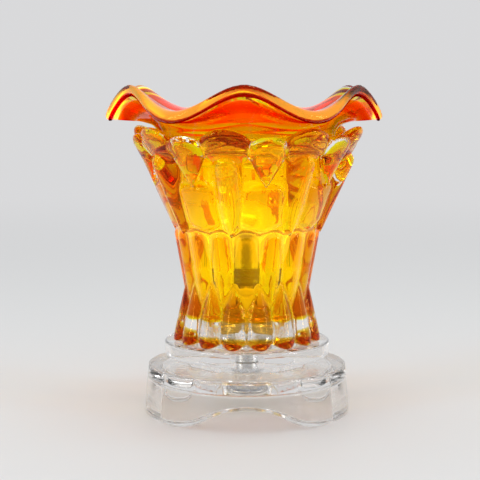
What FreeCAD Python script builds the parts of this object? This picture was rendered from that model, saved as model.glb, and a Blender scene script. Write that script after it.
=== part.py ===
"""Electric wax melt warmer: a ruffled glass shade on a pressed glass base.

The shade is one pressed piece of glass that stands on its sixteen toes on the base. A small lamp in
a brass cup is clamped through the middle of the base, and a glass dish for the wax sits in the
shade's throat, over the lamp. Lengths are in millimetres. Z points up, the origin lies in the middle
of the underside, and the front of the warmer looks along -Y.
"""
import FreeCAD, Part
import math
import os

import Sketcher
from FreeCAD import Placement, Rotation, Vector

# Driving lengths, each written once

LENGTHS = {
    # pressed glass base
    "hollow_radius": 39.5,
    "foot_wall": 8.7,
    "foot_taper": 1.9,
    "foot_height": 22.8,
    "foot_bevel": 1.5,
    "panel_groove": 1.1,
    "riser_radius": 29.0,
    "riser_height": 4.3,
    "flange_radius": 38.6,
    "flange_thickness": 6.7,
    "flange_bevel": 0.9,
    "hollow_depth": 15.5,
    "well_radius": 15.0,
    "well_depth": 9.8,
    "arch_height": 10.4,
    "arch_setback": 13.2,
    "arch_crown_radius": 34.0,
    # clamping rod, nuts and washers
    "rod_radius": 5.0,
    "rod_bore_radius": 3.9,
    "rod_clearance": 0.4,
    "rod_overhang": 1.5,
    "nut_across_corners": 16.2,
    "lower_nut_height": 3.0,
    "upper_nut_height": 2.5,
    "washer_radius": 9.0,
    "steel_washer_thickness": 1.0,
    "rubber_washer_radius": 10.0,
    "rubber_washer_thickness": 1.5,
    "bush_flange_radius": 6.2,
    "bush_flange_thickness": 1.2,
    "bush_sleeve_length": 4.0,
    "bush_wall": 0.7,
    # brass cup
    "cup_radius": 11.8,
    "cup_height": 13.0,
    "cup_wall": 0.8,
    "cup_corner": 2.0,
    "cup_lip": 0.9,
    # lampholder
    "holder_radius": 9.8,
    "holder_height": 21.8,
    "holder_collar_radius": 8.9,
    "holder_collar_height": 5.0,
    "holder_rod_depth": 4.8,
    "holder_floor": 1.8,
    "chamber_radius": 6.8,
    "chamber_height": 4.2,
    "shell_radius": 7.6,
    "shell_wall": 0.35,
    "shell_seat_width": 1.9,
    "shell_setback": 0.5,
    "fit": 0.1,
    "lead_hole_radius": 1.2,
    "lead_hole_offset": 3.0,
    "strip_thickness": 0.5,
    "strip_width": 3.2,
    "tongue_rise": 2.4,
    "tongue_reach": 2.2,
    "live_heel": 5.0,
    "neutral_heel": 6.2,
    "neutral_foot": 3.2,
    "screw_head_radius": 1.15,
    "screw_head_height": 0.9,
    "screw_shank_radius": 0.7,
    "screw_shank_length": 1.6,
    "live_screw_offset": 2.6,
    "neutral_screw_offset": 4.4,
    # bulb
    "contact_gap": 0.3,
    "button_radius": 2.3,
    "button_tip_radius": 1.5,
    "button_height": 1.1,
    "insulator_height": 2.6,
    "cap_radius": 6.8,
    "cap_taper": 1.0,
    "cap_height": 17.0,
    "cap_wall": 0.3,
    "cap_skirt": 0.35,
    "cap_skirt_height": 3.2,
    "bulb_radius": 11.0,
    "bulb_wall": 0.7,
    "bulb_neck_depth": 4.5,
    "bulb_neck_height": 2.0,
    "bulb_belly_height": 28.0,
    "bulb_height": 38.5,
    "bulb_shoulder_height": 8.0,
    "bulb_crown_inset": 2.8,
    "bulb_crown_height": 4.6,
    "bulb_tip_radius": 3.0,
    "stem_radius": 2.3,
    "stem_flare": 0.9,
    "stem_flare_height": 3.0,
    "stem_height": 17.0,
    "lead_radius": 0.35,
    "lead_foot_offset": 1.2,
    "lead_tip_offset": 4.6,
    "lead_length": 13.0,
    "lead_sink": 3.0,
    "filament_radius": 0.3,
    # wax dish
    "dish_clearance": 0.5,
    "dish_flange_thickness": 3.0,
    "dish_depth": 11.0,
    "dish_wall": 2.8,
    "dish_floor": 3.0,
    "dish_taper": 5.9,
    "dish_slope": 0.8,
    "dish_slope_height": 6.0,
    # shade: toes and waist
    "toe_radius": 5.9,
    "toe_half_width": 6.3,
    "toe_setback": 4.3,
    "toe_lean": 5.9,
    "toe_length": 29.3,
    "toe_point": 15.0,
    "toe_tip_height": 6.2,
    "rib_radius": 6.1,
    "rib_half_width": 6.4,
    "rib_step": 0.5,
    "rib_lean": 5.7,
    "rib_lap": 15.5,
    "rib_point": 16.5,
    "rib_dome": 4.5,
    "waist_rise": 10.9,
    "tier_height": 29.6,
    # shade: middle tier
    "belly_setback": 1.4,
    "belly_height": 19.5,
    "belly_round": 2.2,
    "shelf_width": 2.4,
    "lancet_radius": 6.6,
    "lancet_half_width": 6.0,
    "lancet_lap": 2.5,
    "lancet_point": 15.5,
    "lancet_rise": 13.1,
    "lancet_dome": 6.0,
    "lancet_setback": 0.2,
    "lancet_lean": 16.8,
    # shade: petals
    "petal_radius": 18.0,
    "petal_half_width": 12.0,
    "petal_gap": 0.5,
    "petal_point": 15.0,
    "petal_length": 25.5,
    "petal_dome": 8.5,
    "petal_step": 1.2,
    "petal_lean": 10.8,
    "petal_thickness": 5.8,
    "small_petal_radius": 12.0,
    "small_petal_half_width": 8.8,
    "small_petal_drop": 3.0,
    "small_petal_dome": 6.0,
    "small_petal_setback": 1.0,
    # shade: inside, neck and ruffled mouth
    "waist_wall": 4.7,
    "inner_waist_rise": 3.6,
    "inner_belly_drop": 26.0,
    "ledge_width": 3.4,
    "ledge_rise": 18.5,
    "throat_step": 2.2,
    "neck_wall": 3.6,
    "neck_collar": 0.6,
    "neck_sink": 2.5,
    "neck_rise": 5.5,
    "rim_flare": 23.6,
    "rim_lean": 2.4,
    "rim_rise": 12.6,
    "rim_swell": 6.4,
    "rim_thickness": 4.8,
    # how far a cut or a bar runs past what it meets
    "overrun": 1.0,
}

# Counts and angles

TOES = 16
LANCETS = 8
WAVES = 6
POINTS_PER_WAVE = 6
NUT_SIDES = 6
PANEL_EDGES_DEG = (30, 60, 120, 150, 210, 240, 300, 330)
RISER_SIDES = 12
PHASE_DEG = -11.5
SMALL_PETAL_PHASE_DEG = 11.0
TURN_DEG = 360.0
HALF_TURN_DEG = 180.0
RIGHT_ANGLE_DEG = 90.0

doc = FreeCAD.newDocument("wax_melt_warmer")
sheet = doc.addObject("Spreadsheet::Sheet", "sizes")
for row, (alias, length) in enumerate(LENGTHS.items(), start=1):
    sheet.set(f"A{row}", alias)
    sheet.set(f"B{row}", str(length))
    sheet.setAlias(f"B{row}", alias)
doc.recompute()


class Size:
    """A length of the sheet, or one worked out from such lengths, with the expression that says so."""

    def __init__(self, value, text):
        self.value = float(value)
        self.text = text

    def __float__(self):
        return self.value

    def __add__(self, other):
        return Size(self.value + float(other), f"({self.text} + {words(other)})")

    def __sub__(self, other):
        return Size(self.value - float(other), f"({self.text} - {words(other)})")

    def __mul__(self, other):
        return Size(self.value * float(other), f"({self.text} * {words(other)})")

    def __truediv__(self, other):
        return Size(self.value / float(other), f"({self.text} / {words(other)})")

    def __neg__(self):
        return Size(-self.value, f"(0 - {self.text})")


def words(number):
    """The text of a size or of a plain number inside an expression."""
    return number.text if isinstance(number, Size) else repr(float(number))


class Sheet:
    """The sheet's lengths by name."""

    def __getattr__(self, alias):
        return Size(sheet.get(alias), f"sizes.{alias}")


mm = Sheet()
ZERO = Size(0, "0")


def bind(item, **sizes):
    """Tie properties of an object to the sheet."""
    for name, size in sizes.items():
        item.setExpression(name, size.text)


def place(item, x=ZERO, y=ZERO, z=ZERO):
    """Tie an object's place to the sheet."""
    item.setExpression("Placement.Base.x", x.text)
    item.setExpression("Placement.Base.y", y.text)
    item.setExpression("Placement.Base.z", z.text)


# Sketches and bodies


def new_body(name):
    body = doc.addObject("PartDesign::Body", name)
    body.Label = name
    return body


def origin_part(body, role):
    """The body's own origin plane or axis of that role."""
    for feature in body.Origin.OriginFeatures:
        if feature.Role == role:
            return feature
    raise ValueError(role)


def polar(radius, degrees):
    """The two sizes that lead to a point at a radius and an angle, nought where it lies on an axis."""
    angle = math.radians(degrees)
    across = ZERO if degrees % HALF_TURN_DEG == RIGHT_ANGLE_DEG else radius * math.cos(angle)
    up = ZERO if degrees % HALF_TURN_DEG == 0 else radius * math.sin(angle)
    return across, up


def new_sketch(body, name, role, height=None):
    sketch = body.newObject("Sketcher::SketchObject", name)
    sketch.AttachmentSupport = [(origin_part(body, role), "")]
    sketch.MapMode = "FlatFace"
    if height is not None:
        sketch.setExpression("AttachmentOffset.Base.z", height.text)
    return sketch


def pin(sketch, geometry, end, x, y):
    """Fix one point of a sketch at two sizes from the origin."""
    for kind, axis, size in (("DistanceX", -2, x), ("DistanceY", -1, y)):
        if size is ZERO:
            sketch.addConstraint(Sketcher.Constraint("PointOnObject", geometry, end, axis))
            continue
        index = sketch.addConstraint(Sketcher.Constraint(kind, -1, 1, geometry, end, size.value))
        sketch.setExpression(f"Constraints[{index}]", size.text)


def trace(sketch, corners):
    """Draw a closed outline. A corner (x, y) ends a line, and (x, y, u, v) an arc that passes (u, v)."""
    previous = corners[-1]
    ends = []
    for corner in corners:
        start = Vector(float(previous[0]), float(previous[1]), 0)
        finish = Vector(float(corner[0]), float(corner[1]), 0)
        if len(corner) == 2:
            index = sketch.addGeometry(Part.LineSegment(start, finish), False)
            ends.append((index, 1, 2))
        else:
            middle = Vector(float(corner[2]), float(corner[3]), 0)
            index = sketch.addGeometry(Part.Arc(start, middle, finish), False)
            forward = (sketch.getPoint(index, 1) - start).Length < (sketch.getPoint(index, 2) - start).Length
            ends.append((index, 1, 2) if forward else (index, 2, 1))
            point = sketch.addGeometry(Part.Point(middle), True)
            pin(sketch, point, 1, corner[2], corner[3])
            sketch.addConstraint(Sketcher.Constraint("PointOnObject", point, 1, index))
        previous = corner
    for this, following in zip(ends, ends[1:] + ends[:1]):
        sketch.addConstraint(Sketcher.Constraint("Coincident", this[0], this[2], following[0], following[1]))
    for (index, _, finish), corner in zip(ends, corners):
        pin(sketch, index, finish, corner[0], corner[1])


def turned(name, corners, body=None):
    """A piece turned about the upright axis from its outline of radii and heights."""
    body = body or new_body(name)
    sketch = new_sketch(body, f"{name}_profile", "XZ_Plane")
    trace(sketch, corners)
    solid = body.newObject("PartDesign::Revolution", f"{name}_turned")
    solid.Profile = sketch
    solid.ReferenceAxis = (sketch, ["V_Axis"])
    solid.Angle = TURN_DEG
    return body


def ring(name, inner, outer, bottom, top):
    """A plain washer or tube."""
    return turned(name, [(outer, bottom), (outer, top), (inner, top), (inner, bottom)])


# Heights at which the pieces are stacked, and the radii of the foot

foot_bottom_radius = mm.hollow_radius + mm.foot_wall
foot_top_radius = foot_bottom_radius - mm.foot_taper
arch_half_width = foot_bottom_radius - mm.arch_setback
riser_top = mm.foot_height + mm.riser_height
flange_top = riser_top + mm.flange_thickness
well_top = mm.hollow_depth + mm.well_depth
rod_hole = mm.rod_radius + mm.rod_clearance
base_rubber_bottom = well_top - mm.rubber_washer_thickness
steel_bottom = base_rubber_bottom - mm.steel_washer_thickness
lower_nut_bottom = steel_bottom - mm.lower_nut_height
rod_bottom = lower_nut_bottom - mm.rod_overhang
cup_bottom = flange_top + mm.rubber_washer_thickness
cup_floor_top = cup_bottom + mm.cup_wall
holder_bottom = cup_floor_top + mm.upper_nut_height
rod_top = holder_bottom + mm.holder_rod_depth - mm.fit
chamber_bottom = holder_bottom + mm.holder_rod_depth + mm.holder_floor
shell_bottom = chamber_bottom + mm.chamber_height
holder_top = holder_bottom + mm.holder_height
strip_top = chamber_bottom + mm.strip_thickness
tongue_top = chamber_bottom + mm.tongue_rise + mm.strip_thickness
button_bottom = tongue_top + mm.contact_gap
button_top = button_bottom + mm.button_height
cap_bottom = button_top + mm.insulator_height
cap_top = cap_bottom + mm.cap_height

# Heights and radii of the shade, from its toes up

toe_crest_bottom = mm.flange_radius - mm.toe_setback
toe_crest_top = toe_crest_bottom - mm.toe_lean
toe_top = flange_top + mm.toe_length
rib_bottom = toe_top - mm.rib_lap
waist_height = rib_bottom + mm.waist_rise
rib_top = waist_height + mm.tier_height
rib_crest_waist = toe_crest_top + mm.rib_step
rib_crest_top = rib_crest_waist + mm.rib_lean
belly_top = rib_top + mm.belly_height
ledge_height = belly_top + mm.ledge_rise
throat_radius = rib_crest_top + mm.throat_step
neck_radius = throat_radius + mm.neck_wall + mm.neck_collar
belly_top_radius = neck_radius + mm.shelf_width
lancet_bottom = rib_top - mm.lancet_lap
lancet_top = belly_top + mm.lancet_rise
lancet_crest_bottom = rib_crest_top - mm.lancet_setback
petal_bottom = belly_top + mm.petal_gap
petal_top = petal_bottom + mm.petal_length
petal_crest_bottom = belly_top_radius + mm.petal_step
inner_belly_radius = throat_radius - mm.ledge_width


# Pressed glass base


def panelled_outline(sketch, radius):
    """The foot's outline: eight bulging panels, wide ones on the axes, that meet in shallow grooves."""
    valley = radius - mm.panel_groove
    corners = []
    previous = PANEL_EDGES_DEG[-1] - TURN_DEG
    for edge in PANEL_EDGES_DEG:
        middle = (previous + edge) / 2
        corners.append(polar(valley, edge) + polar(radius, middle))
        previous = edge
    trace(sketch, corners)


def make_base_glass():
    body = new_body("base_glass")
    foot = body.newObject("PartDesign::AdditiveLoft", "foot")
    bevel_bottom = mm.foot_height - mm.foot_bevel
    sections = []
    for name, radius, height in (("foot_bottom", foot_bottom_radius, ZERO),
                                 ("foot_shoulder", foot_top_radius, bevel_bottom),
                                 ("foot_top", foot_top_radius - mm.foot_bevel, mm.foot_height)):
        section = new_sketch(body, name, "XY_Plane", height)
        panelled_outline(section, radius)
        sections.append(section)
    foot.Profile = sections[0]
    foot.Sections = sections[1:]
    foot.Ruled = True

    riser_sketch = new_sketch(body, "riser_outline", "XY_Plane", mm.foot_height)
    side_deg = TURN_DEG / RISER_SIDES
    trace(riser_sketch, [polar(mm.riser_radius, side_deg * k + side_deg / 2) for k in range(RISER_SIDES)])
    riser = body.newObject("PartDesign::Pad", "riser")
    riser.Profile = riser_sketch
    bind(riser, Length=mm.riser_height)

    flange_low = riser_top + mm.flange_bevel
    flange_high = flange_top - mm.flange_bevel
    flange_inset = mm.flange_radius - mm.flange_bevel
    turned("flange", [(ZERO, riser_top), (flange_inset, riser_top), (mm.flange_radius, flange_low),
                      (mm.flange_radius, flange_high), (flange_inset, flange_top), (ZERO, flange_top)], body)

    hollow_sketch = new_sketch(body, "hollow_profile", "XZ_Plane")
    below = -mm.overrun
    above = flange_top + mm.overrun
    trace(hollow_sketch, [(ZERO, below), (mm.hollow_radius, below), (mm.hollow_radius, mm.hollow_depth),
                          (mm.well_radius, mm.hollow_depth), (mm.well_radius, well_top), (rod_hole, well_top),
                          (rod_hole, above), (ZERO, above)])
    hollow = body.newObject("PartDesign::Groove", "hollow")
    hollow.Profile = hollow_sketch
    hollow.ReferenceAxis = (hollow_sketch, ["V_Axis"])
    hollow.Angle = TURN_DEG

    arch_sketch = new_sketch(body, "arch_outline", "XZ_Plane")
    trace_arch(arch_sketch)
    arches = body.newObject("PartDesign::Pocket", "arches")
    arches.Profile = arch_sketch
    arches.Type = "ThroughAll"
    arches.Midplane = True
    body.Tip = arches
    return body


def trace_arch(sketch):
    """The scallop in the front and the back: a round crown that sweeps out into two feet."""
    width, height, crown = arch_half_width, mm.arch_height, mm.arch_crown_radius
    both = (width * width + height * height) / (height * 2)
    foot = both - crown
    bend_x = width * crown / both
    bend_z = height * foot / both
    half_angle = math.asin(float(width) / float(both)) / 2
    crown_x = crown * math.sin(half_angle)
    crown_z = height - crown * (1 - math.cos(half_angle))
    foot_x = width - foot * math.sin(half_angle)
    foot_z = foot * (1 - math.cos(half_angle))
    below = -mm.overrun
    trace(sketch, [(width, ZERO, foot_x, foot_z), (width, below), (-width, below), (-width, ZERO),
                   (-bend_x, bend_z, -foot_x, foot_z), (bend_x, bend_z, ZERO, height)])


# Clamping rod, nuts and washers


def make_nut(name, bottom, thickness):
    blank = doc.addObject("Part::Prism", f"{name}_blank")
    blank.Polygon = NUT_SIDES
    bind(blank, Circumradius=mm.nut_across_corners / 2, Height=thickness)
    bore = doc.addObject("Part::Cylinder", f"{name}_bore")
    bind(bore, Radius=mm.rod_radius + mm.fit, Height=thickness)
    nut = doc.addObject("Part::Cut", name)
    nut.Base = blank
    nut.Tool = bore
    nut.Label = name
    place(nut, z=bottom)
    return nut


def make_clamp():
    bush_sleeve = mm.rod_bore_radius - mm.fit
    bush_bore = bush_sleeve - mm.bush_wall
    bush_bottom = rod_bottom - mm.bush_flange_thickness
    bush_top = rod_bottom + mm.bush_sleeve_length
    return [
        ring("threaded_rod", mm.rod_bore_radius, mm.rod_radius, rod_bottom, rod_top),
        ring("base_rubber_washer", rod_hole, mm.rubber_washer_radius, base_rubber_bottom, well_top),
        ring("steel_washer", rod_hole, mm.washer_radius, steel_bottom, base_rubber_bottom),
        make_nut("base_lock_nut", lower_nut_bottom, mm.lower_nut_height),
        turned("cord_bush", [(mm.bush_flange_radius, bush_bottom), (mm.bush_flange_radius, rod_bottom),
                             (bush_sleeve, rod_bottom), (bush_sleeve, bush_top),
                             (bush_bore, bush_top), (bush_bore, bush_bottom)]),
        ring("cup_rubber_washer", rod_hole, mm.washer_radius, flange_top, cup_bottom),
        make_nut("cup_lock_nut", cup_floor_top, mm.upper_nut_height),
    ]


# Brass cup


def make_lamp_cup():
    """A spun cup with a bevelled foot and a small turned-out lip."""
    inside = mm.cup_radius - mm.cup_wall
    top = cup_bottom + mm.cup_height
    lip_bottom = top - mm.cup_wall
    lip_radius = mm.cup_radius + mm.cup_lip
    return turned("lamp_cup", [
        (rod_hole, cup_bottom), (mm.cup_radius - mm.cup_corner, cup_bottom),
        (mm.cup_radius, cup_bottom + mm.cup_corner),
        (mm.cup_radius, lip_bottom), (lip_radius, lip_bottom), (lip_radius, top), (inside, top),
        (inside, cup_floor_top + mm.cup_corner), (inside - mm.cup_corner, cup_floor_top),
        (rod_hole, cup_floor_top)])


# Lampholder


def make_holder():
    body = new_body("holder_body")
    collar_top = holder_bottom + mm.holder_collar_height
    rod_socket = mm.rod_radius + mm.fit
    rod_end = holder_bottom + mm.holder_rod_depth
    shell_room = mm.shell_radius + mm.fit
    turned("holder", [
        (rod_socket, holder_bottom), (mm.holder_collar_radius, holder_bottom),
        (mm.holder_collar_radius, collar_top), (mm.holder_radius, collar_top),
        (mm.holder_radius, holder_top), (shell_room, holder_top), (shell_room, shell_bottom),
        (mm.chamber_radius, shell_bottom), (mm.chamber_radius, chamber_bottom), (ZERO, chamber_bottom),
        (ZERO, rod_end), (rod_socket, rod_end)], body)
    holes = new_sketch(body, "lead_holes", "XY_Plane", rod_end)
    for side in (-1, 1):
        add_circle(holes, ZERO, mm.lead_hole_offset * side, mm.lead_hole_radius)
    for offset in (-mm.live_screw_offset, mm.neutral_screw_offset):
        add_circle(holes, offset, ZERO, mm.screw_shank_radius + mm.fit)
    drilled = body.newObject("PartDesign::Pocket", "drilled")
    drilled.Profile = holes
    drilled.Reversed = True
    bind(drilled, Length=mm.holder_floor)
    body.Tip = drilled
    return body


def add_circle(sketch, x, y, radius):
    centre = Vector(float(x), float(y), 0)
    index = sketch.addGeometry(Part.Circle(centre, Vector(0, 0, 1), radius.value), False)
    pin(sketch, index, 3, x, y)
    limit = sketch.addConstraint(Sketcher.Constraint("Radius", index, radius.value))
    sketch.setExpression(f"Constraints[{limit}]", radius.text)


def make_strip(name, outline, hole_x):
    """A bent brass strip, drawn from the side and as wide as the contacts are, with a screw hole."""
    body = new_body(name)
    side = new_sketch(body, f"{name}_side", "XZ_Plane")
    trace(side, outline)
    strip = body.newObject("PartDesign::Pad", f"{name}_strip")
    strip.Profile = side
    strip.Midplane = True
    bind(strip, Length=mm.strip_width)
    hole = new_sketch(body, f"{name}_hole", "XY_Plane", chamber_bottom)
    add_circle(hole, hole_x, ZERO, mm.screw_shank_radius + mm.fit)
    cut = body.newObject("PartDesign::Pocket", f"{name}_cut")
    cut.Profile = hole
    cut.Reversed = True
    bind(cut, Length=mm.strip_thickness)
    body.Tip = cut
    return body


def make_contacts():
    heel = -mm.live_heel
    inner_heel = heel + mm.strip_thickness
    tongue_bottom = tongue_top - mm.strip_thickness
    foot_end = ZERO - (mm.live_screw_offset - mm.screw_head_radius)
    live = make_strip("live_contact", [
        (heel, chamber_bottom), (foot_end, chamber_bottom), (foot_end, strip_top), (inner_heel, strip_top),
        (inner_heel, tongue_bottom), (mm.tongue_reach, tongue_bottom), (mm.tongue_reach, tongue_top),
        (heel, tongue_top)], -mm.live_screw_offset)
    inner = mm.neutral_heel - mm.strip_thickness
    neutral = make_strip("neutral_strap", [
        (mm.neutral_foot, chamber_bottom), (mm.neutral_heel, chamber_bottom), (mm.neutral_heel, shell_bottom),
        (inner, shell_bottom), (inner, strip_top), (mm.neutral_foot, strip_top)], mm.neutral_screw_offset)
    return [live, neutral]


def make_screw_shell():
    inside = mm.shell_radius - mm.shell_wall
    top = holder_top - mm.shell_setback
    seat_top = shell_bottom + mm.shell_wall
    return turned("screw_shell", [
        (mm.shell_radius - mm.shell_seat_width, shell_bottom), (mm.shell_radius, shell_bottom),
        (mm.shell_radius, top), (inside, top), (inside, seat_top),
        (mm.shell_radius - mm.shell_seat_width, seat_top)])


def make_terminal_screws():
    solids = []
    for name, offset in (("live", -mm.live_screw_offset), ("neutral", mm.neutral_screw_offset)):
        head = doc.addObject("Part::Cylinder", f"{name}_screw_head")
        bind(head, Radius=mm.screw_head_radius, Height=mm.screw_head_height)
        place(head, x=offset, z=strip_top)
        shank = doc.addObject("Part::Cylinder", f"{name}_screw_shank")
        bind(shank, Radius=mm.screw_shank_radius, Height=mm.screw_shank_length)
        place(shank, x=offset, z=strip_top - mm.screw_shank_length)
        screw = doc.addObject("Part::Fuse", f"{name}_screw")
        screw.Base = head
        screw.Tool = shank
        solids.append(screw)
    group = doc.addObject("Part::Compound", "terminal_screws")
    group.Links = solids
    group.Label = "terminal_screws"
    return group


# Bulb


def make_bulb():
    neck = mm.cap_radius - mm.cap_wall - mm.fit
    neck_bottom = cap_top - mm.bulb_neck_depth
    belly = cap_top + mm.bulb_belly_height
    top = cap_top + mm.bulb_height
    neck_top = cap_top + mm.bulb_neck_height
    shoulder = neck_top + mm.bulb_shoulder_height
    wall = mm.bulb_wall
    slim = mm.bulb_radius - wall
    crown = mm.bulb_radius - mm.bulb_crown_inset
    crown_z = top - mm.bulb_crown_height
    envelope = turned("bulb_envelope", [
        (neck, neck_bottom), (neck, neck_top), (mm.bulb_radius, shoulder), (mm.bulb_radius, belly),
        (crown, crown_z), (mm.bulb_tip_radius, top), (ZERO, top), (ZERO, top - wall), (crown - wall, crown_z - wall),
        (slim, belly), (slim, shoulder), (neck - wall, neck_top), (neck - wall, neck_bottom)])

    cap_low = cap_bottom + mm.cap_taper
    skirt_low = cap_top - mm.cap_skirt_height
    skirt = mm.cap_radius + mm.cap_skirt
    insulator_rim = mm.cap_radius - mm.cap_taper
    cap = turned("bulb_cap", [
        (insulator_rim, cap_bottom), (mm.cap_radius, cap_low), (mm.cap_radius, skirt_low),
        (skirt, skirt_low + mm.cap_skirt), (skirt, cap_top), (mm.cap_radius - mm.cap_wall, cap_top),
        (mm.cap_radius - mm.cap_wall, cap_low), (insulator_rim - mm.cap_wall, cap_bottom)])
    insulator = turned("bulb_insulator", [
        (ZERO, button_top), (mm.button_radius, button_top), (insulator_rim, cap_bottom), (ZERO, cap_bottom)])
    button = turned("bulb_contact", [
        (ZERO, button_bottom), (mm.button_tip_radius, button_bottom), (mm.button_radius, button_top),
        (ZERO, button_top)])

    stem_bottom = neck_bottom
    stem_room = neck - wall - mm.fit
    flare_top = stem_bottom + mm.stem_flare_height
    stem_top = stem_bottom + mm.stem_height
    stem = turned("bulb_stem", [
        (ZERO, stem_bottom), (stem_room, stem_bottom), (stem_room, stem_bottom + mm.stem_flare),
        (mm.stem_radius, flare_top), (mm.stem_radius, stem_top - mm.lead_sink), (ZERO, stem_top)])
    return [button, insulator, cap, envelope, stem] + make_lead_wires(stem_top)


def make_lead_wires(stem_top):
    """Two stiff wires that lean out of the stem, with the filament across their tips."""
    foot_z = stem_top + mm.fit
    tip_z = foot_z + mm.lead_length
    reach = mm.lead_tip_offset - mm.lead_foot_offset
    lean = math.atan2(float(reach), float(mm.lead_length))
    wires = []
    for side in (-1, 1):
        wire = doc.addObject("Part::Cylinder", "lead_wire")
        length = (reach * reach + mm.lead_length * mm.lead_length)
        wire.setExpression("Height", f"sqrt({length.text})")
        bind(wire, Radius=mm.lead_radius)
        place(wire, x=mm.lead_foot_offset * side, z=foot_z)
        wire.Placement.Rotation = Rotation(Vector(0, 1, 0), side * math.degrees(lean))
        wires.append(wire)
    leads = doc.addObject("Part::Compound", "bulb_lead_wires")
    leads.Links = wires
    leads.Label = "bulb_lead_wires"

    filament_z = tip_z + mm.filament_radius
    filament = doc.addObject("Part::Cylinder", "filament")
    bind(filament, Radius=mm.filament_radius, Height=mm.lead_tip_offset * 2)
    place(filament, x=-mm.lead_tip_offset, z=filament_z)
    filament.Placement.Rotation = Rotation(Vector(0, 1, 0), RIGHT_ANGLE_DEG)
    filament.Label = "filament"
    return [leads, filament]


# Wax dish


def make_wax_dish():
    """A thick glass bowl that hangs by its flange on the ledge in the throat."""
    rim = throat_radius - mm.dish_clearance
    bowl = inner_belly_radius - mm.dish_clearance
    foot = bowl - mm.dish_taper
    top = ledge_height + mm.dish_flange_thickness
    bottom = ledge_height - mm.dish_depth
    floor = bottom + mm.dish_floor
    inside = bowl - mm.dish_wall
    inner_foot = foot - mm.dish_wall + mm.dish_slope
    return turned("wax_dish", [
        (ZERO, bottom), (foot, bottom), (bowl, bottom + mm.dish_slope_height),
        (bowl, ledge_height), (rim, ledge_height), (rim, top), (inside, top), (inner_foot, floor),
        (ZERO, floor)])


# Glass shade


def at(radius, degrees, height):
    """A point by its radius, its angle from the front towards the right, and its height."""
    angle = math.radians(degrees)
    return Vector(float(radius) * math.sin(angle), -float(radius) * math.cos(angle), float(height))


def spun(outline):
    """A solid of revolution from points of radius and height."""
    corners = [Vector(float(radius), 0, float(height)) for radius, height in outline]
    face = Part.Face(Part.makePolygon(corners + corners[:1]))
    return face.revolve(Vector(0, 0, 0), Vector(0, 0, 1), TURN_DEG)


def round_bar(radius, low, high):
    """A round bar at the front, whose outer crest runs through two points of radius and height."""
    overrun = float(mm.overrun)
    foot = at(low[0], 0, low[1])
    along = at(high[0], 0, high[1]) - foot
    length = along.Length
    along.normalize()
    inward = Vector(0, 1, 0) - along * along.y
    inward.normalize()
    start = foot + inward * float(radius) - along * overrun
    return Part.makeCylinder(float(radius), length + overrun + overrun, start, along)


def leaf(half_width, point, shoulder, top, dome):
    """A block that reaches from the axis out through the front, cut to a leaf: a point, straight sides
    up to a shoulder and a rounded end. With the point above the top it hangs the other way up."""
    wide, point, shoulder, top = (float(size) for size in (half_width, point, shoulder, top))
    spring = top - math.copysign(float(dome), top - point)
    reach = float(neck_radius + mm.rim_flare)
    tip = Vector(0, 0, point)
    edges = [
        Part.LineSegment(tip, Vector(wide, 0, shoulder)).toShape(),
        Part.LineSegment(Vector(wide, 0, shoulder), Vector(wide, 0, spring)).toShape(),
        Part.Arc(Vector(wide, 0, spring), Vector(0, 0, top), Vector(-wide, 0, spring)).toShape(),
        Part.LineSegment(Vector(-wide, 0, spring), Vector(-wide, 0, shoulder)).toShape(),
        Part.LineSegment(Vector(-wide, 0, shoulder), tip).toShape(),
    ]
    return Part.Face(Part.Wire(edges)).extrude(Vector(0, -reach, 0))


def around(solid, count, phase):
    """Copies of a piece of glass made at the front, turned about the axis."""
    copies = []
    for index in range(count):
        copy = solid.copy()
        copy.rotate(Vector(0, 0, 0), Vector(0, 0, 1), phase + index * TURN_DEG / count)
        copies.append(copy)
    return copies


def make_toe():
    bar = round_bar(mm.toe_radius, (toe_crest_bottom, flange_top), (toe_crest_top, toe_top))
    return bar.common(leaf(mm.toe_half_width, toe_top, toe_top - mm.toe_point, flange_top, mm.toe_tip_height))


def make_rib():
    rise = float(mm.rib_lean) / float(mm.tier_height)
    crest_bottom = rib_crest_waist - mm.waist_rise * rise
    bar = round_bar(mm.rib_radius, (crest_bottom, rib_bottom), (rib_crest_top, rib_top))
    return bar.common(leaf(mm.rib_half_width, rib_bottom, rib_bottom + mm.rib_point, rib_top, mm.rib_dome))


def make_lancet():
    bar = round_bar(mm.lancet_radius, (lancet_crest_bottom, lancet_bottom),
                    (lancet_crest_bottom + mm.lancet_lean, lancet_top))
    return bar.common(leaf(mm.lancet_half_width, lancet_bottom, lancet_bottom + mm.lancet_point,
                           lancet_top, mm.lancet_dome))


def make_petal(radius, half_width, top, dome, setback):
    """A petal that stands free of the neck, with a bulging front and a flat back."""
    low = (petal_crest_bottom - setback, petal_bottom)
    high = (petal_crest_bottom - setback + mm.petal_lean, petal_top)
    bar = round_bar(radius, low, high)
    front = bar.common(leaf(half_width, petal_bottom, petal_bottom + mm.petal_point, top, dome))
    back_low = at(low[0] - mm.petal_thickness, 0, low[1])
    back_high = at(high[0] - mm.petal_thickness, 0, high[1])
    back = Part.makePolygon([back_low, back_high, Vector(0, 0, back_high.z), Vector(0, 0, back_low.z), back_low])
    across = Vector(float(half_width), 0, 0)
    block = Part.Face(back).extrude(across + across)
    block.translate(across.negative())
    return front.cut(block)


def wavy_ring(radius, height, share):
    """A closed curve that waves up and down, and out where it dips, by a share of the rim's own wave."""
    lift = float(mm.rim_swell) * share
    lean = float(mm.rim_lean) * share
    steps = WAVES * POINTS_PER_WAVE
    points = []
    for index in range(steps):
        degrees = TURN_DEG * index / steps
        wave = math.cos(math.radians(WAVES * degrees))
        points.append(at(float(radius) - lean * wave, degrees, float(height) + lift * wave))
    curve = Part.BSplineCurve()
    curve.interpolate(Points=points, PeriodicFlag=True)
    return Part.Wire([curve.toShape()])


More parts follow.
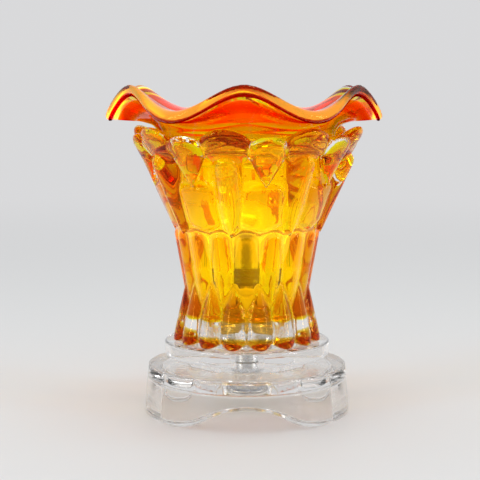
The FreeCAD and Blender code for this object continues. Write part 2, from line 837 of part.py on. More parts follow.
# How far out and up a ring of the mouth lies, how its wall leans in degrees, and its share of the wave
RUFFLE_SHARES = (
    (0.00, 0.00, 0, 0.00),
    (0.14, 0.36, 42, 0.05),
    (0.34, 0.58, 62, 0.20),
    (0.66, 0.80, 69, 0.54),
    (1.00, 1.00, 72, 1.00),
)


def make_ruffle():
    """The flared, waving mouth: its underside, lip and upper side are strips between wavy rings."""
    wall = float(mm.neck_wall)
    neck = float(throat_radius) + wall / 2
    start = float(ledge_height - mm.neck_sink)
    below, above = [], []
    for out_share, up_share, tilt_deg, wave_share in RUFFLE_SHARES:
        radius = neck + float(mm.rim_flare) * out_share
        height = float(ledge_height + mm.neck_rise) + float(mm.rim_rise) * up_share
        half = (wall + (float(mm.rim_thickness) - wall) * out_share) / 2
        tilt = math.radians(tilt_deg)
        below.append(wavy_ring(radius + half * math.cos(tilt), height - half * math.sin(tilt), wave_share))
        above.append(wavy_ring(radius - half * math.cos(tilt), height + half * math.sin(tilt), wave_share))
    foot_outer = wavy_ring(neck + wall / 2, start, 0)
    foot_inner = wavy_ring(neck - wall / 2, start, 0)
    rings = [foot_outer] + below + above[::-1] + [foot_inner]
    skin = Part.makeLoft(rings, False, True)
    underside = Part.makeRuledSurface(foot_outer.Edges[0], foot_inner.Edges[0])
    shell = Part.Shell(skin.Faces + [underside])
    shell.sewShape()
    solid = Part.Solid(shell)
    if solid.Volume < 0:
        solid.reverse()
    return solid


def make_shade():
    core_bottom = rib_bottom - mm.overrun
    core = spun([(ZERO, core_bottom), (toe_crest_top - mm.overrun, core_bottom),
                 (rib_crest_waist - mm.belly_round, waist_height),
                 (rib_crest_top - mm.belly_round, rib_top - mm.belly_round),
                 (rib_crest_top - mm.belly_setback, rib_top), (belly_top_radius, belly_top),
                 (belly_top_radius - mm.belly_round, belly_top + mm.belly_round),
                 (neck_radius, belly_top + mm.belly_round), (neck_radius, ledge_height), (ZERO, ledge_height)])
    big = make_petal(mm.petal_radius, mm.petal_half_width, petal_top, mm.petal_dome, ZERO)
    small = make_petal(mm.small_petal_radius, mm.small_petal_half_width, petal_top - mm.small_petal_drop,
                       mm.small_petal_dome, mm.small_petal_setback)
    half_pitch = TURN_DEG / TOES / 2
    glass = core.multiFuse(
        around(make_toe(), TOES, PHASE_DEG)
        + around(make_rib(), TOES, PHASE_DEG + half_pitch)
        + around(make_lancet(), LANCETS, PHASE_DEG)
        + around(big, LANCETS, PHASE_DEG)
        + around(small, LANCETS, SMALL_PETAL_PHASE_DEG)
        + [make_ruffle()])
    inner_bottom = flange_top - mm.overrun
    inner_waist = rib_crest_waist - mm.waist_wall
    ledge_end = ledge_height + mm.overrun
    inside = spun([(ZERO, inner_bottom), (inner_waist, inner_bottom),
                   (inner_waist, waist_height + mm.inner_waist_rise),
                   (inner_belly_radius, ledge_height - mm.inner_belly_drop),
                   (inner_belly_radius, ledge_end), (ZERO, ledge_end)])
    shade = doc.addObject("Part::Feature", "shade")
    shade.Shape = glass.cut(inside)
    shade.Label = "shade"
    shade.Placement = Placement()
    return shade


# Build, check and write the pieces


def main():
    pieces = [make_base_glass()]
    pieces += make_clamp()
    pieces += [make_lamp_cup(), make_holder(), make_screw_shell()]
    pieces += make_contacts()
    pieces += [make_terminal_screws()]
    pieces += make_bulb()
    pieces += [make_shade(), make_wax_dish()]
    doc.recompute()
    for item in doc.Objects:
        if "Invalid" in item.State or "Error" in item.State:
            raise RuntimeError(f"{item.Label} failed: {item.State}")
    for piece in pieces:
        if piece.Shape.isNull() or not piece.Shape.isValid():
            raise RuntimeError(f"{piece.Label} has no valid shape")
    os.makedirs("parts", exist_ok=True)
    for piece in pieces:
        piece.Shape.exportStep(os.path.join("parts", f"{piece.Label}.step"))
        print(f"{piece.Label}: {len(piece.Shape.Solids)} solid(s), {piece.Shape.Volume:.1f} mm3")


main()
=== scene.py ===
import bmesh
import bpy
import math
from mathutils import Matrix, Vector


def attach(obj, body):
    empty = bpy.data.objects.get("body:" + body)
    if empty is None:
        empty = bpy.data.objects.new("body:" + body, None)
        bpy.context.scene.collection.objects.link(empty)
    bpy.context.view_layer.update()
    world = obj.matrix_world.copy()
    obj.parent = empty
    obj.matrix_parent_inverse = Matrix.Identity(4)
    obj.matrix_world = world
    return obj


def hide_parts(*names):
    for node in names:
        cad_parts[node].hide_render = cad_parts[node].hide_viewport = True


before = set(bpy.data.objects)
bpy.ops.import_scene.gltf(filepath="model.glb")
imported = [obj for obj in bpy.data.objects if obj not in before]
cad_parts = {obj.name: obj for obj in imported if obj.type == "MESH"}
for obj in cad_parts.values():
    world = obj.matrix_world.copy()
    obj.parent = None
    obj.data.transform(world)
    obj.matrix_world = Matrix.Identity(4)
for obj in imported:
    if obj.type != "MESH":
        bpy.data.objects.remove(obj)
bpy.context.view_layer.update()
MM = 0.001

# The camera stands level with the mouth, rather more than half a metre off, and looks a little down.
# It has a long lens, as for a catalogue, and nothing is out of focus.
CAMERA_DISTANCE = 620 * MM
CAMERA_HEIGHT = 151.1 * MM
CAMERA_PITCH_DEG = 6.51
CAMERA_YAW_DEG = 0.30
LENS = 100.2

lens = bpy.data.cameras.new("camera")
lens.lens = LENS
lens.sensor_width = 36.0
lens.clip_start = 0.02
camera = bpy.data.objects.new("camera", lens)
camera.location = (0, -CAMERA_DISTANCE, CAMERA_HEIGHT)
camera.rotation_euler = (math.radians(90 - CAMERA_PITCH_DEG), 0, math.radians(CAMERA_YAW_DEG))
bpy.context.scene.collection.objects.link(camera)
bpy.context.scene.camera = camera
bpy.context.scene.view_settings.view_transform = "Standard"

# Thick glass sends light on through many surfaces, so paths are allowed to be long.
cycles = bpy.context.scene.cycles
cycles.max_bounces = 32
cycles.transmission_bounces = 32
cycles.glossy_bounces = 12
cycles.transparent_max_bounces = 96

# The studio is a pale sweep with no edge, under soft light from all round. The same pale colour is
# seen past the warmer, in its reflections and through its glass.
BACKDROP = (0.695, 0.695, 0.705, 1)
SKY_LIGHT = 0.80


def node(tree, kind, **settings):
    """Add a shader node and set its options."""
    made = tree.nodes.new(f"ShaderNode{kind}")
    for name, value in settings.items():
        setattr(made, name, value)
    return made


def reckon(tree, operation, first, second):
    """Work out a value from two others, each a node's output or a plain number."""
    made = node(tree, "Math", operation=operation)
    for socket, value in zip(made.inputs, (first, second)):
        if isinstance(value, (int, float)):
            socket.default_value = value
        else:
            tree.links.new(value, socket)
    return made.outputs[0]


def mixed(tree, share, first, second):
    """Mix two shaders: the first alone where the share is 0, the second alone where it is 1."""
    made = node(tree, "MixShader")
    tree.links.new(share, made.inputs["Fac"])
    tree.links.new(first.outputs[0], made.inputs[1])
    tree.links.new(second.outputs[0], made.inputs[2])
    return made.outputs[0]


world = bpy.data.worlds.new("studio")
world.use_nodes = True
bpy.context.scene.world = world
tree = world.node_tree
tree.nodes.clear()
path = node(tree, "LightPath")
light = node(tree, "Background")
light.inputs["Color"].default_value = (1, 1, 1, 1)
light.inputs["Strength"].default_value = SKY_LIGHT
shown = node(tree, "Background")
shown.inputs["Color"].default_value = BACKDROP
seen = reckon(tree, "MAXIMUM", path.outputs["Is Camera Ray"], path.outputs["Is Glossy Ray"])
seen = reckon(tree, "MAXIMUM", seen, path.outputs["Is Transmission Ray"])
tree.links.new(mixed(tree, seen, light, shown), node(tree, "OutputWorld").inputs["Surface"])

# The floor is the near part of the sweep, plain and matt. Away from the warmer it turns little by
# little into the backdrop's own colour, so that no horizon shows.
FLOOR = (0.725, 0.735, 0.74, 1)
FLOOR_RADIUS = 14.0
FLOOR_FADE = (0.25, 1.3)


def add_mesh(name, bm, sharp_deg=None):
    """Turn a bmesh into an object of the scene. Faces are smooth but for edges over an angle."""
    mesh = bpy.data.meshes.new(name)
    bm.to_mesh(mesh)
    bm.free()
    mesh.shade_smooth()
    if sharp_deg is not None:
        mesh.set_sharp_from_angle(angle=math.radians(sharp_deg))
    made = bpy.data.objects.new(name, mesh)
    bpy.context.scene.collection.objects.link(made)
    return made


def ranged(tree, value, low, high, start=0.0, end=1.0, smooth=True):
    """Take a value from low to high over into start to end, and hold it there outside that range."""
    made = node(tree, "MapRange", interpolation_type="SMOOTHSTEP" if smooth else "LINEAR")
    made.inputs["From Min"].default_value = low
    made.inputs["From Max"].default_value = high
    made.inputs["To Min"].default_value = start
    made.inputs["To Max"].default_value = end
    tree.links.new(value, made.inputs["Value"])
    return made.outputs["Result"]


def reach_from_axis(tree):
    """How far a point of the surface is from the warmer's axis, in metres."""
    flat = node(tree, "Mapping")
    flat.inputs["Scale"].default_value = (1, 1, 0)
    reach = node(tree, "VectorMath", operation="LENGTH")
    tree.links.new(node(tree, "TexCoord").outputs["Object"], flat.inputs["Vector"])
    tree.links.new(flat.outputs["Vector"], reach.inputs[0])
    return reach.outputs["Value"]


bm = bmesh.new()
bmesh.ops.create_circle(bm, cap_ends=True, segments=64, radius=FLOOR_RADIUS)
floor = add_mesh("floor", bm)
material = bpy.data.materials.new("pale_sweep")
material.use_nodes = True
tree = material.node_tree
paint = tree.nodes["Principled BSDF"]
paint.inputs["Base Color"].default_value = FLOOR
paint.inputs["Roughness"].default_value = 0.55
paint.inputs["Specular IOR Level"].default_value = 0.25
distant = node(tree, "Emission")
distant.inputs["Color"].default_value = BACKDROP
fade = ranged(tree, reach_from_axis(tree), *FLOOR_FADE)
tree.links.new(mixed(tree, fade, paint, distant), tree.nodes["Material Output"].inputs["Surface"])
floor.data.materials.append(material)

# Three soft boxes stand off the warmer, a tall narrow one at each side and a wide one overhead. They
# give the long quiet highlights on its glass.
LAMP_AIM = Vector((0, 0, 80 * MM))


def soft_box(name, place, size, power):
    """A rectangular lamp that faces the warmer."""
    lamp = bpy.data.lights.new(name, "AREA")
    lamp.shape = "RECTANGLE"
    lamp.size, lamp.size_y = size
    lamp.energy = power
    made = bpy.data.objects.new(name, lamp)
    made.location = place
    made.rotation_euler = (LAMP_AIM - Vector(place)).to_track_quat("-Z", "Y").to_euler()
    bpy.context.scene.collection.objects.link(made)


soft_box("soft_box_left", (-0.75, -0.45, 0.45), (0.16, 0.7), 2.2)
soft_box("soft_box_right", (0.80, -0.30, 0.40), (0.12, 0.7), 1.8)
soft_box("soft_box_top", (0.05, -0.10, 0.95), (0.5, 0.14), 1.0)


# The base is one heavy piece of clear pressed glass: a round flange on a twelve-sided riser, on a
# foot of eight bulging panels that is hollow underneath and scalloped in front and behind.
FLANGE_TOP = 33.8
FLANGE_BOTTOM = 27.1
WELL_TOP = 25.3
BORE_RADIUS = 5.4
RISER_RADIUS = 29.0
RISER_SIDES = 12
FOOT_TOP = 22.8
FOOT_PANEL_EDGES_DEG = (34, 58, 122, 146, 214, 238, 302, 326)
FOOT_GROOVE = 1.1
HOLLOW_RADIUS = 39.5
HOLLOW_TOP = 15.5
SCALLOP_HEIGHT = 10.4
SCALLOP_HALF_WIDTH = 35.0
SCALLOP_CROWN = 34.0
SCALLOP_FADE_TOP = 14.0


def spun(outline, steps=120, soft=0.0):
    """A closed skin turned about the axis from an outline of radii and heights in millimetres.
    With soft, the outline's corners off the axis are rounded first."""
    bm = bmesh.new()
    ring = [bm.verts.new((radius * MM, 0, height * MM)) for radius, height in outline]
    ends = ring[1:] if outline[-1][0] == 0 and outline[0][0] == 0 else ring[1:] + ring[:1]
    for start, end in zip(ring, ends):
        bm.edges.new((start, end))
    if soft:
        corners = [vert for vert in ring if vert.co.x > 0]
        bmesh.ops.bevel(bm, geom=corners, offset=soft * MM, offset_type="OFFSET", affect="VERTICES",
                        segments=3, profile=0.5, material=-1, clamp_overlap=True)
    bmesh.ops.spin(bm, geom=bm.verts[:] + bm.edges[:], cent=(0, 0, 0), axis=(0, 0, 1),
                   angle=math.tau, steps=steps, use_merge=True)
    bmesh.ops.remove_doubles(bm, verts=bm.verts[:], dist=0.001 * MM)
    bmesh.ops.recalc_face_normals(bm, faces=bm.faces[:])
    return bm


def rounded(corners, steps=9):
    """An outline whose corners, each a radius, a height and a rounding, are turned into arcs."""
    outline = []
    for index, (radius, height, rounding) in enumerate(corners):
        corner = Vector((radius, height))
        back = (Vector(corners[index - 1][:2]) - corner).normalized()
        on = (Vector(corners[(index + 1) % len(corners)][:2]) - corner).normalized()
        half = back.angle(on) / 2
        centre = corner + (back + on).normalized() * (rounding / math.sin(half))
        first = corner + back * (rounding / math.tan(half)) - centre
        last = corner + on * (rounding / math.tan(half)) - centre
        for step in range(steps + 1):
            outline.append(tuple(centre + first.slerp(last, step / steps) * rounding))
    return outline


def scallop(across):
    """Height of the foot's lower edge, in millimetres, at a distance from the middle of the front."""
    across = abs(across)
    both = (SCALLOP_HALF_WIDTH ** 2 + SCALLOP_HEIGHT ** 2) / (2 * SCALLOP_HEIGHT)
    foot = both - SCALLOP_CROWN
    if across >= SCALLOP_HALF_WIDTH:
        return 0.0
    if across < SCALLOP_HALF_WIDTH * SCALLOP_CROWN / both:
        return SCALLOP_HEIGHT - SCALLOP_CROWN + math.sqrt(SCALLOP_CROWN ** 2 - across ** 2)
    return foot - math.sqrt(foot ** 2 - (SCALLOP_HALF_WIDTH - across) ** 2)


def panel_reach(degrees):
    """How far a foot panel bulges at an angle, from 0 in a groove to 1 at its middle."""
    edges = (FOOT_PANEL_EDGES_DEG[-1] - 360,) + FOOT_PANEL_EDGES_DEG + (FOOT_PANEL_EDGES_DEG[0] + 360,)
    for start, end in zip(edges, edges[1:]):
        if start <= degrees <= end:
            half = (end - start) / 2
            return 1 - ((degrees - start - half) / half) ** 2
    return 0.0


def many_sided(vert, sides, corner_radius):
    """Move a vertex that lies on a circle in or out onto the flat side of a prism."""
    side = 360 / sides
    degrees = math.degrees(math.atan2(vert.co.y, vert.co.x)) % side
    reach = math.cos(math.radians(side / 2)) / math.cos(math.radians(degrees - side / 2))
    vert.co.xy = vert.co.xy.normalized() * corner_radius * reach * MM


bm = spun(rounded([
    (38.6, FLANGE_BOTTOM, 1.0), (38.6, FLANGE_TOP, 1.0), (BORE_RADIUS, FLANGE_TOP, 0.3),
    (BORE_RADIUS, WELL_TOP, 0.3), (15.0, WELL_TOP, 0.8), (15.0, HOLLOW_TOP, 0.8),
    (HOLLOW_RADIUS, HOLLOW_TOP, 1.4), (HOLLOW_RADIUS, 0.0, 0.8), (48.2, 0.0, 1.0),
    (46.3, FOOT_TOP, 1.0), (RISER_RADIUS, FOOT_TOP, 0.6), (RISER_RADIUS, FLANGE_BOTTOM, 0.6)]), steps=240)
for vert in bm.verts:
    x, y, height = (value / MM for value in vert.co)
    radius = math.hypot(x, y)
    degrees = math.degrees(math.atan2(y, x)) % 360
    on_riser = FOOT_TOP - 0.1 < height < FLANGE_BOTTOM + 0.1
    if on_riser and RISER_RADIUS - 0.5 < radius < RISER_RADIUS + 0.8:
        many_sided(vert, RISER_SIDES, radius)
    if radius > HOLLOW_RADIUS + 0.5 and height < FOOT_TOP + 0.2:
        vert.co.xy *= 1 - FOOT_GROOVE / radius * (1 - panel_reach(degrees))
    if radius > HOLLOW_RADIUS - 0.5 and height < SCALLOP_FADE_TOP:
        vert.co.z += scallop(x) * MM * (SCALLOP_FADE_TOP - height) / SCALLOP_FADE_TOP
base = add_mesh("clear_glass_base", bm, sharp_deg=11)
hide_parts("base_glass")
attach(base, "base")


def glass(name, colour=(1, 1, 1), roughness=0.0, ripple=0.0, grain=120.0, sheen=(1, 1, 1)):
    """Glass that lets the lamps' light through, with a tinted sheen if its reflections take a colour.
    A ripple is the slight unevenness that a mould leaves."""
    made = bpy.data.materials.new(name)
    made.use_nodes = True
    tree = made.node_tree
    shine = tree.nodes["Principled BSDF"]
    shine.inputs["Base Color"].default_value = (*colour, 1)
    shine.inputs["Roughness"].default_value = roughness
    shine.inputs["IOR"].default_value = 1.5
    shine.inputs["Transmission Weight"].default_value = 1.0
    shine.inputs["Specular Tint"].default_value = (*sheen, 1)
    noise = node(tree, "TexNoise")
    noise.inputs["Scale"].default_value = grain
    noise.inputs["Detail"].default_value = 1.0
    bump = node(tree, "Bump")
    bump.inputs["Strength"].default_value = ripple
    bump.inputs["Distance"].default_value = 0.4 * MM
    tree.links.new(node(tree, "TexCoord").outputs["Object"], noise.inputs["Vector"])
    tree.links.new(noise.outputs["Fac"], bump.inputs["Height"])
    tree.links.new(bump.outputs["Normal"], shine.inputs["Normal"])
    clear = node(tree, "BsdfTransparent")
    clear.inputs["Color"].default_value = (0.93, 0.93, 0.93, 1)
    in_shadow = node(tree, "LightPath").outputs["Is Shadow Ray"]
    tree.links.new(mixed(tree, in_shadow, shine, clear), tree.nodes["Material Output"].inputs["Surface"])
    return made


base.data.materials.append(glass("clear_pressed_glass", (0.93, 0.925, 0.915), ripple=0.04, grain=60))


# A washer of milky silicone sits in the well under the base, and a zinc-plated steel washer below
# it, so that the nut does not press on glass. A film of air is left between silicone and glass.
STEEL_BOTTOM = 22.8
BASE_RUBBER_BOTTOM = 23.8
BASE_RUBBER_RADIUS = 10.0
WASHER_RADIUS = 9.0
AIR_FILM = 0.08


def solid_finish(name, colour, other_colour, metallic, roughness, other_roughness, grain, relief=0.0,
                 stretch=(1, 1, 1)):
    """A surface that drifts between two colours and two roughnesses in a noise of some grain."""
    made = bpy.data.materials.new(name)
    made.use_nodes = True
    tree = made.node_tree
    shine = tree.nodes["Principled BSDF"]
    shine.inputs["Metallic"].default_value = metallic
    stretched = node(tree, "Mapping")
    stretched.inputs["Scale"].default_value = stretch
    noise = node(tree, "TexNoise")
    noise.inputs["Scale"].default_value = grain
    noise.inputs["Detail"].default_value = 4.0
    blend = node(tree, "Mix", data_type="RGBA")
    blend.inputs["A"].default_value = (*colour, 1)
    blend.inputs["B"].default_value = (*other_colour, 1)
    dull = ranged(tree, noise.outputs["Fac"], 0.3, 0.7, roughness, other_roughness, smooth=False)
    bump = node(tree, "Bump")
    bump.inputs["Strength"].default_value = relief
    bump.inputs["Distance"].default_value = 0.1 * MM
    tree.links.new(node(tree, "TexCoord").outputs["Object"], stretched.inputs["Vector"])
    tree.links.new(stretched.outputs["Vector"], noise.inputs["Vector"])
    tree.links.new(noise.outputs["Fac"], blend.inputs["Factor"])
    tree.links.new(noise.outputs["Fac"], bump.inputs["Height"])
    tree.links.new(blend.outputs["Result"], shine.inputs["Base Color"])
    tree.links.new(dull, shine.inputs["Roughness"])
    tree.links.new(bump.outputs["Normal"], shine.inputs["Normal"])
    return made


def finish(name, bm, material, body="base", sharp_deg=35):
    """Add a piece that takes the place of the node it is named after, and ride it on its body."""
    piece = add_mesh(f"{name}_piece", bm, sharp_deg)
    piece.data.materials.append(material)
    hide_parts(name)
    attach(piece, body)


def washer(outer, bottom, top, soft):
    """A flat ring around the rod, with its edges taken off."""
    return spun([(BORE_RADIUS, bottom), (outer, bottom), (outer, top), (BORE_RADIUS, top)], 72, soft)


silicone = solid_finish("milky_silicone", (0.86, 0.87, 0.87), (0.80, 0.81, 0.82), 0.0, 0.45, 0.6, 900, 0.2)
zinc = solid_finish("bright_zinc_plate", (0.80, 0.81, 0.83), (0.72, 0.74, 0.77), 1.0, 0.22, 0.36, 700, 0.1)
finish("base_rubber_washer", washer(BASE_RUBBER_RADIUS, BASE_RUBBER_BOTTOM, WELL_TOP - AIR_FILM, 0.3),
       silicone)
finish("steel_washer", washer(WASHER_RADIUS, STEEL_BOTTOM, BASE_RUBBER_BOTTOM, 0.2), zinc)


# A hollow rod with a thread over its whole length clamps the cup to the base. A hexagon nut sits
# near each end of it, the lower of zinc-plated steel and the upper of brass.
ROD_RADIUS = 5.0
ROD_BORE_RADIUS = 3.9
ROD_BOTTOM = 18.3
ROD_TOP = 43.3
ROD_PITCH = 1.0
NUT_ACROSS_CORNERS = 16.2
NUT_CHAMFER = 0.5
BASE_NUT_BOTTOM = 19.8


def run(radius, low, high, step):
    """Evenly spaced outline points up or down a wall, close enough together to carry a thread."""
    count = max(1, round(abs(high - low) / step))
    return [(radius, low + (high - low) * index / count) for index in range(count + 1)]


def cut_thread(bm, least, most, low, high, pitch, depth):
    """Press a helix into the wall that lies between two radii and two heights. It fades at its ends."""
    for vert in bm.verts:
        x, y, height = (value / MM for value in vert.co)
        radius = math.hypot(x, y)
        if least < radius < most and low < height < high:
            fade = min(1.0, (height - low) / pitch, (high - height) / pitch)
            groove = 0.5 - 0.5 * math.cos(math.tau * height / pitch - math.atan2(y, x))
            vert.co.xy *= 1 - depth * fade * groove / radius


bm = spun(run(ROD_RADIUS, ROD_BOTTOM, ROD_TOP, 0.17)
          + [(ROD_BORE_RADIUS, ROD_TOP), (ROD_BORE_RADIUS, ROD_BOTTOM)], 48)
cut_thread(bm, 4.5, 5.5, ROD_BOTTOM + 0.05, ROD_TOP - 0.05, ROD_PITCH, 0.35)
finish("threaded_rod", bm, zinc, sharp_deg=60)


def hexagon_nut(bottom, top):
    """A nut whose corners are turned off at both ends, as on a lathe."""
    inner = ROD_RADIUS + 0.1
    corner = NUT_ACROSS_CORNERS / 2
    flat = corner * math.cos(math.radians(30))
    bm = spun([(inner, bottom), (flat, bottom), (corner, bottom + NUT_CHAMFER),
               (corner, top - NUT_CHAMFER), (flat, top), (inner, top)], 72)
    for vert in bm.verts:
        if vert.co.xy.length > (flat + corner) / 2 * MM:
            many_sided(vert, 6, corner)
    return bm


finish("base_lock_nut", hexagon_nut(BASE_NUT_BOTTOM, STEEL_BOTTOM), zinc, sharp_deg=20)

# A moulded white plastic bush lines the rod's lower end, where a cord would enter, so that its edge
# can't cut. It has a rounded flange and a sleeve pushed into the bore.
plastic = solid_finish("white_nylon", (0.87, 0.86, 0.82), (0.82, 0.81, 0.77), 0.0, 0.35, 0.5, 500, 0.15)
finish("cord_bush", spun([(6.2, 17.1), (6.2, ROD_BOTTOM), (3.8, ROD_BOTTOM), (3.8, 22.3), (3.1, 22.3),
                          (3.1, 17.1)], 72, soft=0.3), plastic)

# A second silicone washer lies on top of the base and keeps the brass cup off the glass. It is cut
# from the same milky sheet as the one below.
CUP_BOTTOM = 35.3
finish("cup_rubber_washer", washer(WASHER_RADIUS, FLANGE_TOP + AIR_FILM, CUP_BOTTOM, 0.3),
       silicone)

# The cup is spun from thin sheet brass and lacquered: a rounded foot, two rolled beads round its
# side and a turned-out lip. A brass nut holds it down from inside.
CUP_RADIUS = 11.8
CUP_WALL = 0.8
CUP_FLOOR = 36.1
CUP_TOP = 48.3
CUP_NUT_TOP = 38.6
BEADS = (40.0, 44.6)
BEAD_DEPTH = 0.45
BEAD_HALF_WIDTH = 0.5
brass = solid_finish("lacquered_brass", (0.66, 0.43, 0.10), (0.56, 0.35, 0.07), 1.0, 0.18, 0.32, 260, 0.05,
                     stretch=(1, 1, 14))
wall_out = [(11.1, 35.5)] + run(CUP_RADIUS, 36.6, 47.3, 0.25)
wall_in = run(CUP_RADIUS - CUP_WALL, 47.6, 37.6, 0.25)
bm = spun([(BORE_RADIUS, CUP_BOTTOM), (9.8, CUP_BOTTOM)] + wall_out
          + [(12.3, 47.5), (12.7, 47.9), (12.4, CUP_TOP), (11.4, CUP_TOP)] + wall_in
          + [(10.2, 36.4), (9.0, CUP_FLOOR), (BORE_RADIUS, CUP_FLOOR)], 120)
for vert in bm.verts:
    radius = vert.co.xy.length / MM
    if radius > CUP_RADIUS - CUP_WALL - 0.1:
        nearest = min(abs(vert.co.z / MM - bead) for bead in BEADS)
        vert.co.xy *= 1 - BEAD_DEPTH * math.exp(-(nearest / BEAD_HALF_WIDTH) ** 2) / radius
finish("lamp_cup", bm, brass)
finish("cup_lock_nut", hexagon_nut(CUP_FLOOR, CUP_NUT_TOP), brass, sharp_deg=20)

# The lampholder is ivory glazed porcelain. Its collar stands on the nut, the rod's end sits in its
# foot, and the screw shell hangs in its mouth.
HOLDER_BOTTOM = CUP_NUT_TOP
HOLDER_TOP = 60.4
CHAMBER_BOTTOM = 45.2
SHELL_BOTTOM = 49.4
porcelain = solid_finish("ivory_glazed_porcelain", (0.80, 0.64, 0.38), (0.72, 0.55, 0.31), 0.0, 0.10, 0.22,
                         180, 0.1)
porcelain.node_tree.nodes["Principled BSDF"].inputs["Coat Weight"].default_value = 0.6
bm = spun([(5.1, HOLDER_BOTTOM), (8.9, HOLDER_BOTTOM), (8.9, 43.4), (9.6, 43.9), (9.8, 44.9), (9.8, 56.2),
           (9.4, 56.6), (9.4, 57.4), (9.8, 57.8), (9.8, HOLDER_TOP), (7.7, HOLDER_TOP), (7.7, SHELL_BOTTOM),
           (6.8, SHELL_BOTTOM), (6.8, CHAMBER_BOTTOM), (0, CHAMBER_BOTTOM), (0, 43.4), (5.1, 43.4)],
          96, soft=0.3)
finish("holder_body", bm, porcelain, sharp_deg=50)

# Two strips stamped from spring brass carry the current: one springs up under the bulb's contact,
# the other joins the shell. Each is held by a small slotted brass screw.
SCREWS = (-2.6, 4.4)
SLOT_HALF_WIDTH = 0.2
SLOT_EDGE = 0.02
SLOT_DEPTH = 0.45
STRIP_TOP = 45.7
stamped = solid_finish("stamped_spring_brass", (0.80, 0.62, 0.32), (0.70, 0.52, 0.25), 1.0, 0.28, 0.42,
                       900, 0.2)
for name in ("live_contact", "neutral_strap"):
    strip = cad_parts[name]
    strip.data.materials.clear()
    strip.data.materials.append(stamped)
both = bmesh.new()
for offset in SCREWS:
    bm = spun([(0, STRIP_TOP - 1.6), (0.7, STRIP_TOP - 1.6), (0.7, STRIP_TOP), (1.15, STRIP_TOP),
               (1.15, STRIP_TOP + 0.6), (0.85, STRIP_TOP + 0.9), (0, STRIP_TOP + 0.9)], 32)
    for side in (-SLOT_HALF_WIDTH, SLOT_HALF_WIDTH):
        for cut in (side - SLOT_EDGE, side + SLOT_EDGE):
            bmesh.ops.bisect_plane(bm, geom=bm.verts[:] + bm.edges[:] + bm.faces[:],
                                   plane_co=(0, cut * MM, 0), plane_no=(0, 1, 0))
    for vert in bm.verts:
        if abs(vert.co.y) < SLOT_HALF_WIDTH * MM and vert.co.z > (STRIP_TOP + 0.5) * MM:
            vert.co.z = (STRIP_TOP + SLOT_DEPTH) * MM
    bmesh.ops.translate(bm, verts=bm.verts[:], vec=(offset * MM, 0, 0))
    screw = bpy.data.meshes.new("one_screw")
    bm.to_mesh(screw)
    bm.free()
    both.from_mesh(screw)
    bpy.data.meshes.remove(screw)
finish("terminal_screws", both, brass, sharp_deg=30)

# The screw shell is drawn from thin brass, with the round thread of a small lamp rolled into it. Its
# turned-in floor lies on a step in the holder's mouth.
THREAD_PITCH = 2.82
bm = spun([(5.7, SHELL_BOTTOM), (7.6, SHELL_BOTTOM)] + run(7.6, 49.8, 59.5, 0.3) + [(7.6, 59.9), (7.25, 59.9)]
          + run(7.25, 59.5, 50.1, 0.3) + [(7.25, 49.75), (5.7, 49.75)], 72)
cut_thread(bm, 7.0, 7.7, 50.0, 59.6, THREAD_PITCH, 0.2)
finish("screw_shell", bm, stamped, sharp_deg=60)

# The lamp is a small clear bulb with a screw cap. Its lowest point is a bead of solder on a ring of
# black glass, which closes the cap.
BUTTON_BOTTOM = 48.4
BUTTON_TOP = 49.5
CAP_BOTTOM = 52.1
solder = solid_finish("dull_solder", (0.62, 0.62, 0.64), (0.50, 0.50, 0.52), 1.0, 0.38, 0.55, 1200, 0.4)
finish("bulb_contact", spun([(0, BUTTON_BOTTOM), (0.8, 48.43), (1.5, 48.65), (2.05, 49.1), (2.3, BUTTON_TOP),
                             (0, BUTTON_TOP)], 40), solder, "bulb")
black_glass = solid_finish("black_cap_glass", (0.012, 0.012, 0.016), (0.03, 0.03, 0.034), 0.0, 0.08, 0.16,
                           300, 0.1)
bm = spun([(0, BUTTON_TOP), (2.3, BUTTON_TOP), (3.2, 49.9), (4.6, 51.0), (5.8, CAP_BOTTOM),
           (0, CAP_BOTTOM)], 56)
finish("bulb_insulator", bm, black_glass, "bulb")

# The cap is nickel-plated sheet, coloured dark, with a rolled thread and a skirt that the glass is cemented
# into.
CAP_TOP = 69.1
nickel = solid_finish("dark_nickel_plate", (0.11, 0.11, 0.09), (0.06, 0.06, 0.045), 1.0, 0.16, 0.30, 400, 0.1)
bm = spun([(5.8, CAP_BOTTOM), (6.5, 52.5)] + run(6.8, 53.1, 65.9, 0.3)
          + [(7.0, 66.1), (7.15, 66.5), (7.15, CAP_TOP), (6.5, CAP_TOP), (6.5, 66.4)]
          + run(6.15, 65.9, 53.2, 0.3) + [(5.6, 52.5)], 72)
cut_thread(bm, 6.1, 6.9, 53.2, 65.8, THREAD_PITCH, 0.35)
finish("bulb_cap", bm, nickel, "bulb", sharp_deg=50)

# The bulb is blown from thin glass, pear-shaped up to a rounded crown. It is lit, so it glows warm
# white, most strongly beside the filament.
FILAMENT_HEIGHT = 95.0
BULB_NECK_BOTTOM = 64.6
BULB_GLOW = (1.0, 0.58, 0.25, 1)
BULB_GLOW_STRENGTH = 0.10
BULB_GLOW_BOTTOM = 78.0


def height_above_floor(tree):
    """How high a point of the surface is, in metres."""
    parts = node(tree, "SeparateXYZ")
    tree.links.new(node(tree, "TexCoord").outputs["Object"], parts.inputs[0])
    return parts.outputs["Z"]


